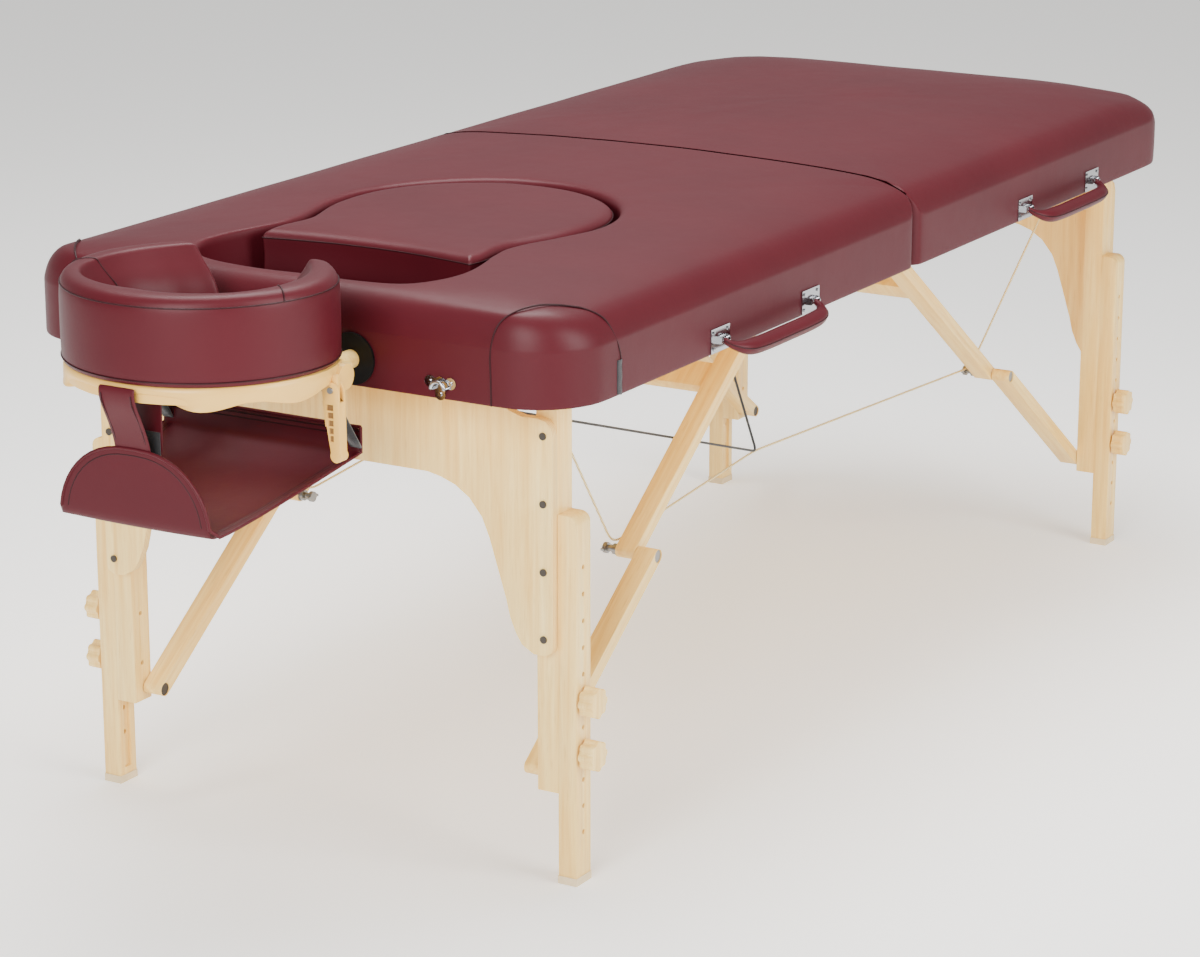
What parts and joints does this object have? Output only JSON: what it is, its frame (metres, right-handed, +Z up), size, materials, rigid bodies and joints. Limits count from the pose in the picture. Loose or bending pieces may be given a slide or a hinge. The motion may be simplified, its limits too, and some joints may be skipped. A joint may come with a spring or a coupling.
{
  "type": "folding massage table",
  "caption": "Folding two-section massage table with burgundy padded top, recessed lift-out insert, pale wooden folding legs, cable stays, horseshoe face cradle and arm sling",
  "frame": {"origin": "middle of the whole table's footprint box, on the floor", "axes": "+X to the side with the carry handles, +Y along the table to its foot end, +Z up"},
  "size_m": [0.8273, 2.1175, 0.7593],
  "materials": {
    "burgundy_vinyl": "soft satin vinyl with a fine grain",
    "birch_wood": "clear satin lacquer on pale wood",
    "grey_foam": "soft open foam",
    "steel_fittings": "bright zinc",
    "chrome_plate": "polished",
    "black_plastic": "matte",
    "black_elastic": "woven",
    "cream_plastic": "semi-gloss moulded",
    "cream_rubber": "matte"
  },
  "bodies": {
    "head_top": {"head_frame": "birch_wood", "head_deck": "birch_wood", "head_foam": "grey_foam", "head_cover": "burgundy_vinyl", "dowel_sockets": "black_plastic", "latch_keepers": "chrome_plate", "handle_plates_head": "chrome_plate", "blocks_head": "birch_wood", "pivot_pins_head": "steel_fittings", "hinge_leaves_head": "steel_fittings", "stay_cables": "steel_fittings", "elastic_cords": "black_elastic"},
    "foot_top": {"foot_frame": "birch_wood", "foot_deck": "birch_wood", "foot_foam": "grey_foam", "foot_cover": "burgundy_vinyl", "latch_plates": "chrome_plate", "handle_plates_foot": "chrome_plate", "blocks_foot": "birch_wood", "pivot_pins_foot": "steel_fittings", "hinge_leaves_foot": "steel_fittings"},
    "insert": {"insert_cushion": "burgundy_vinyl"},
    "latches": {"latch_hooks": "chrome_plate"},
    "head_legs": {"head_posts": "birch_wood", "head_panel": "birch_wood", "head_leg_bolts": "steel_fittings"},
    "head_upper": {"head_upper_struts": "birch_wood", "head_knee_forks": "steel_fittings"},
    "head_lower": {"head_lower_struts": "birch_wood", "head_knee_bolts": "steel_fittings"},
    "carry_handle_head": {"handle_head": "burgundy_vinyl"},
    "extension_head_right": {"ext_head_right": "birch_wood", "cap_head_right": "cream_rubber"},
    "height_knob_head_right_upper": {"knob_head_right_upper": "birch_wood"},
    "height_knob_head_right_lower": {"knob_head_right_lower": "birch_wood"},
    "extension_head_left": {"ext_head_left": "birch_wood", "cap_head_left": "cream_rubber"},
    "height_knob_head_left_upper": {"knob_head_left_upper": "birch_wood"},
    "height_knob_head_left_lower": {"knob_head_left_lower": "birch_wood"},
    "foot_legs": {"foot_posts": "birch_wood", "foot_panel": "birch_wood", "foot_leg_bolts": "steel_fittings"},
    "foot_upper": {"foot_upper_struts": "birch_wood", "foot_knee_forks": "steel_fittings"},
    "foot_lower": {"foot_lower_struts": "birch_wood", "foot_knee_bolts": "steel_fittings"},
    "carry_handle_foot": {"handle_foot": "burgundy_vinyl"},
    "extension_foot_right": {"ext_foot_right": "birch_wood", "cap_foot_right": "cream_rubber"},
    "height_knob_foot_right_upper": {"knob_foot_right_upper": "birch_wood"},
    "height_knob_foot_right_lower": {"knob_foot_right_lower": "birch_wood"},
    "extension_foot_left": {"ext_foot_left": "birch_wood", "cap_foot_left": "cream_rubber"},
    "height_knob_foot_left_upper": {"knob_foot_left_upper": "birch_wood"},
    "height_knob_foot_left_lower": {"knob_foot_left_lower": "birch_wood"},
    "cradle": {"cradle_frame": "birch_wood"},
    "platform": {"cradle_platform": "cream_plastic", "arm_sling": "burgundy_vinyl"},
    "lever": {"cam_lever": "cream_plastic"},
    "cushion": {"face_cushion": "burgundy_vinyl"}
  },
  "joints": [
    {"name": "centre_fold", "type": "hinge", "parent": "head_top", "child": "foot_top", "pos_m": [-0.02019, 0.14566, 0.5997], "axis": [-1, 0, 0], "range_deg": [0, 90], "deforming": ["stay_cables", "elastic_cords"]},
    {"name": "head_leg_fold", "type": "hinge", "parent": "head_top", "child": "head_legs", "pos_m": [-0.02019, -0.65034, 0.632], "axis": [1, 0, 0], "range_deg": [0, 90], "deforming": ["stay_cables", "elastic_cords"]},
    {"name": "head_upper_strut_fold", "type": "hinge", "parent": "head_top", "child": "head_upper", "pos_m": [-0.02019, 0.05066, 0.64], "axis": [-1, 0, 0], "range_deg": [0, 36.3], "deforming": ["stay_cables", "elastic_cords"]},
    {"name": "head_lower_strut_fold", "type": "hinge", "parent": "head_legs", "child": "head_lower", "pos_m": [-0.02019, -0.64234, 0.131], "axis": [1, 0, 0], "range_deg": [0, 53.7], "deforming": ["stay_cables", "elastic_cords"]},
    {"name": "head_right_height", "type": "slide", "parent": "head_legs", "child": "extension_head_right", "axis": [0, 0, -1], "range_m": [-0.099, 0.132]},
    {"name": "head_right_upper_knob_turn", "type": "hinge", "parent": "extension_head_right", "child": "height_knob_head_right_upper", "pos_m": [0.33251, -0.65034, 0.2302], "axis": [1, 0, 0], "continuous": true},
    {"name": "head_right_lower_knob_turn", "type": "hinge", "parent": "extension_head_right", "child": "height_knob_head_right_lower", "pos_m": [0.33251, -0.65034, 0.1642], "axis": [1, 0, 0], "continuous": true},
    {"name": "head_left_height", "type": "slide", "parent": "head_legs", "child": "extension_head_left", "axis": [0, 0, -1], "range_m": [-0.099, 0.132]},
    {"name": "head_left_upper_knob_turn", "type": "hinge", "parent": "extension_head_left", "child": "height_knob_head_left_upper", "pos_m": [-0.37289, -0.65034, 0.2302], "axis": [1, 0, 0], "continuous": true},
    {"name": "head_left_lower_knob_turn", "type": "hinge", "parent": "extension_head_left", "child": "height_knob_head_left_lower", "pos_m": [-0.37289, -0.65034, 0.1642], "axis": [1, 0, 0], "continuous": true},
    {"name": "head_handle_swing", "type": "hinge", "parent": "head_top", "child": "carry_handle_head", "pos_m": [0.37931, -0.28034, 0.621], "axis": [0, 1, 0], "range_deg": [-85, 40]},
    {"name": "foot_leg_fold", "type": "hinge", "parent": "foot_top", "child": "foot_legs", "pos_m": [-0.02019, 0.95866, 0.632], "axis": [-1, 0, 0], "range_deg": [0, 90], "deforming": ["stay_cables", "elastic_cords"]},
    {"name": "foot_upper_strut_fold", "type": "hinge", "parent": "foot_top", "child": "foot_upper", "pos_m": [-0.02019, 0.24066, 0.64], "axis": [1, 0, 0], "range_deg": [0, 35.64], "deforming": ["stay_cables", "elastic_cords"]},
    {"name": "foot_lower_strut_fold", "type": "hinge", "parent": "foot_legs", "child": "foot_lower", "pos_m": [-0.02019, 0.95066, 0.131], "axis": [-1, 0, 0], "range_deg": [0, 54.36], "deforming": ["stay_cables", "elastic_cords"]},
    {"name": "foot_right_height", "type": "slide", "parent": "foot_legs", "child": "extension_foot_right", "axis": [0, 0, -1], "range_m": [-0.099, 0.132]},
    {"name": "foot_right_upper_knob_turn", "type": "hinge", "parent": "extension_foot_right", "child": "height_knob_foot_right_upper", "pos_m": [0.33251, 0.95866, 0.2302], "axis": [1, 0, 0], "continuous": true},
    {"name": "foot_right_lower_knob_turn", "type": "hinge", "parent": "extension_foot_right", "child": "height_knob_foot_right_lower", "pos_m": [0.33251, 0.95866, 0.1642], "axis": [1, 0, 0], "continuous": true},
    {"name": "foot_left_height", "type": "slide", "parent": "foot_legs", "child": "extension_foot_left", "axis": [0, 0, -1], "range_m": [-0.099, 0.132]},
    {"name": "foot_left_upper_knob_turn", "type": "hinge", "parent": "extension_foot_left", "child": "height_knob_foot_left_upper", "pos_m": [-0.37289, 0.95866, 0.2302], "axis": [1, 0, 0], "continuous": true},
    {"name": "foot_left_lower_knob_turn", "type": "hinge", "parent": "extension_foot_left", "child": "height_knob_foot_left_lower", "pos_m": [-0.37289, 0.95866, 0.1642], "axis": [1, 0, 0], "continuous": true},
    {"name": "foot_handle_swing", "type": "hinge", "parent": "foot_top", "child": "carry_handle_foot", "pos_m": [0.37931, 0.61266, 0.621], "axis": [0, 1, 0], "range_deg": [-85, 40]},
    {"name": "insert_lift", "type": "slide", "parent": "head_top", "child": "insert", "axis": [0, 0, 1], "range_m": [0, 0.12]},
    {"name": "latch_hooks_swing", "type": "hinge", "parent": "foot_top", "child": "latches", "pos_m": [0.20581, 1.05381, 0.616], "axis": [1, 0, 0], "range_deg": [0, 100]},
    {"name": "cradle_pull", "type": "slide", "parent": "head_top", "child": "cradle", "axis": [0, -1, 0], "range_m": [0, 0.1]},
    {"name": "cradle_tilt", "type": "hinge", "parent": "cradle", "child": "platform", "pos_m": [-0.02019, -0.84934, 0.643], "axis": [1, 0, 0], "range_deg": [0, 15]},
    {"name": "cam_lever_open", "type": "hinge", "parent": "platform", "child": "lever", "pos_m": [0.13981, -0.87334, 0.632], "axis": [0, -1, 0], "range_deg": [0, 90]},
    {"name": "face_cushion_lift", "type": "slide", "parent": "platform", "child": "cushion", "axis": [0, 0, 1], "range_m": [0, 0.06]}
  ],
  "couplings": [
    {"joint": "head_upper_strut_fold", "follows": "head_leg_fold", "ratio": 0.4033},
    {"joint": "head_lower_strut_fold", "follows": "head_leg_fold", "ratio": 0.5967},
    {"joint": "foot_upper_strut_fold", "follows": "foot_leg_fold", "ratio": 0.39596},
    {"joint": "foot_lower_strut_fold", "follows": "foot_leg_fold", "ratio": 0.60404}
  ]
}
